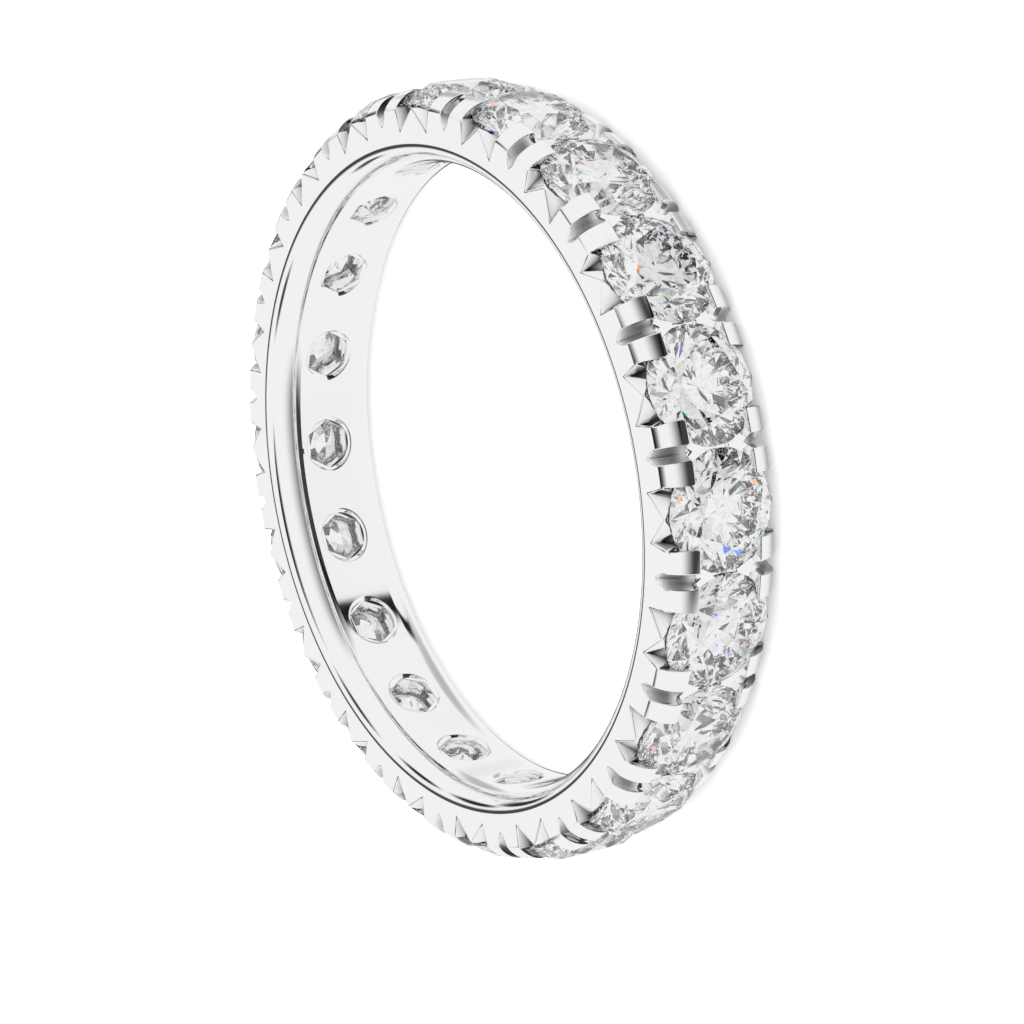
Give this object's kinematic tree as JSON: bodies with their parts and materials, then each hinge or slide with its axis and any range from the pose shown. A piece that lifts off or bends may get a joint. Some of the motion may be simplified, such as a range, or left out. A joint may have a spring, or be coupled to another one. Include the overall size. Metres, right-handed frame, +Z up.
{
  "type": "eternity ring",
  "caption": "Full eternity ring: a round band set all the way round with one row of round brilliant stones held by cut-down prongs.",
  "frame": {"origin": "centre of the ring's outline on the surface that it lies on, at the lower side face", "axes": "+Z up along the ring's own axis, +X through the middle of the first stone"},
  "size_m": [0.0204, 0.0204, 0.0033],
  "materials": {
    "metal": "polished white gold",
    "stones": "polished brilliant cut"
  },
  "bodies": {
    "root": {"band": "metal", "stone_01": "stones", "stone_02": "stones", "stone_03": "stones", "stone_04": "stones", "stone_05": "stones", "stone_06": "stones", "stone_07": "stones", "stone_08": "stones", "stone_09": "stones", "stone_10": "stones", "stone_11": "stones", "stone_12": "stones", "stone_13": "stones", "stone_14": "stones", "stone_15": "stones", "stone_16": "stones", "stone_17": "stones", "stone_18": "stones", "stone_19": "stones", "stone_20": "stones"}
  },
  "joints": []
}
